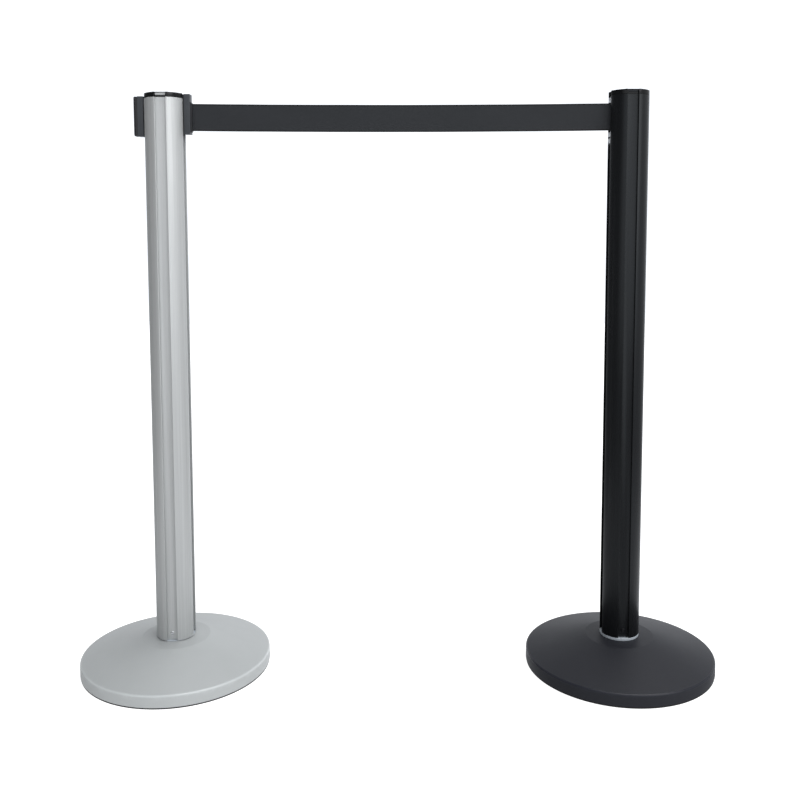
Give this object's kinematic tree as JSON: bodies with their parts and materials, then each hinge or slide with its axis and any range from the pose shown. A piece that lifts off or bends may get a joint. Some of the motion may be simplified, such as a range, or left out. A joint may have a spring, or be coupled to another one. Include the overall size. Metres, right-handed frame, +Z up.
{
  "type": "retractable belt stanchion",
  "caption": "Linked belt barrier stanchions: grooved round posts on domed weighted bases, joined by a dark webbing belt that retracts into a post.",
  "frame": {"origin": "on the floor, midway between the axes of the two posts", "axes": "+X from the silver post towards the black one, along the belt; +Z up; the side of the free front grooves is -Y"},
  "size_m": [1.15, 0.338, 1.034],
  "materials": {
    "silver_post": "satin clear anodised extrusion",
    "black_post": "satin black powder coat over extrusion",
    "silver_base": "satin silver-grey paint on a pressed steel cover",
    "black_base": "satin black paint on a pressed steel cover",
    "floor_rubber": "matt black rubber",
    "cast_weight": "rough cast, black dipped",
    "collar_plastic": "light grey moulded plastic",
    "zinc_steel": "zinc plated",
    "bright_screw": "bright nickel plated",
    "black_screw": "black oxide",
    "plug_aluminium": "turned",
    "cap_plastic": "gloss black moulding",
    "case_plastic": "black glass-filled nylon",
    "spool_plastic": "grey acetal",
    "bright_steel": "ground",
    "bush_brass": "sintered",
    "brake_lining": "friction lining",
    "brake_steel": "pressed",
    "spring_steel": "blued spring steel",
    "guide_steel": "bright pressed stainless steel",
    "belt_web": "dark slate woven polyester webbing",
    "end_plastic": "charcoal fine-textured moulding",
    "tongue_plastic": "black moulding"
  },
  "bodies": {
    "silver_stanchion": {"silver_base_cover": "silver_base", "silver_base_weight": "cast_weight", "silver_belt_guide": "guide_steel", "silver_belt_lead": "belt_web", "silver_brake_drum": "brake_steel", "silver_cap_screws": "black_screw", "silver_cassette_case": "case_plastic", "silver_cassette_floor": "case_plastic", "silver_cassette_lid": "case_plastic", "silver_floor_ring": "floor_rubber", "silver_foot_collar": "collar_plastic", "silver_foot_plug": "plug_aluminium", "silver_foot_screws": "bright_screw", "silver_guide_rollers": "bright_steel", "silver_head_cap": "cap_plastic", "silver_post_tube": "silver_post", "silver_power_spring": "spring_steel", "silver_spool_axle": "bright_steel", "silver_spring_cup": "case_plastic", "silver_tie_bolt": "zinc_steel", "silver_tie_washer": "zinc_steel"},
    "silver_spool_group": {"silver_spool": "spool_plastic", "silver_axle_bushes": "bush_brass", "silver_wound_belt": "belt_web", "silver_brake_shoes": "brake_lining"},
    "silver_belt_end": {"silver_end_body": "end_plastic", "silver_end_tongue": "tongue_plastic", "silver_end_bar": "bright_steel", "silver_end_screws": "zinc_steel", "silver_belt_web": "belt_web"},
    "black_stanchion": {"black_base_cover": "black_base", "black_base_weight": "cast_weight", "black_belt_guide": "guide_steel", "black_belt_lead": "belt_web", "black_brake_drum": "brake_steel", "black_cap_screws": "black_screw", "black_cassette_case": "case_plastic", "black_cassette_floor": "case_plastic", "black_cassette_lid": "case_plastic", "black_floor_ring": "floor_rubber", "black_foot_collar": "collar_plastic", "black_foot_plug": "plug_aluminium", "black_foot_screws": "black_screw", "black_guide_rollers": "bright_steel", "black_head_cap": "cap_plastic", "black_post_tube": "black_post", "black_power_spring": "spring_steel", "black_spool_axle": "bright_steel", "black_spring_cup": "case_plastic", "black_tie_bolt": "zinc_steel", "black_tie_washer": "zinc_steel"},
    "black_spool_group": {"black_spool": "spool_plastic", "black_axle_bushes": "bush_brass", "black_wound_belt": "belt_web", "black_brake_shoes": "brake_lining"},
    "black_belt_end": {"black_end_body": "end_plastic", "black_end_tongue": "tongue_plastic", "black_end_bar": "bright_steel", "black_end_screws": "zinc_steel", "black_belt_web": "belt_web"}
  },
  "joints": [
    {"name": "post_spacing", "type": "slide", "parent": "silver_stanchion", "child": "black_stanchion", "axis": [1, 0, 0], "range_m": [-0.46, 1.2], "deforming": ["black_belt_web"]},
    {"name": "black_spool_spin", "type": "hinge", "parent": "black_stanchion", "child": "black_spool_group", "pos_m": [0.406, 0, 0.99], "axis": [0, 0, 1], "range_deg": [-1620, 4140]},
    {"name": "belt_end_lift", "type": "slide", "parent": "silver_stanchion", "child": "black_belt_end", "axis": [0, 0, 1], "range_m": [0, 0.075]},
    {"name": "silver_belt_pull", "type": "slide", "parent": "silver_stanchion", "child": "silver_belt_end", "axis": [-1, 0, 0], "range_m": [0, 1.9], "stiffness_N_per_m": 1.5, "springref_m": -2, "deforming": ["silver_belt_web"]},
    {"name": "silver_spool_spin", "type": "hinge", "parent": "silver_stanchion", "child": "silver_spool_group", "pos_m": [-0.406, 0, 0.9862], "axis": [0, 0, 1], "range_deg": [0, 6500]}
  ],
  "couplings": [
    {"joint": "black_spool_spin", "follows": "post_spacing", "rad_per_m": 59.6},
    {"joint": "silver_spool_spin", "follows": "silver_belt_pull", "rad_per_m": 59.6}
  ]
}
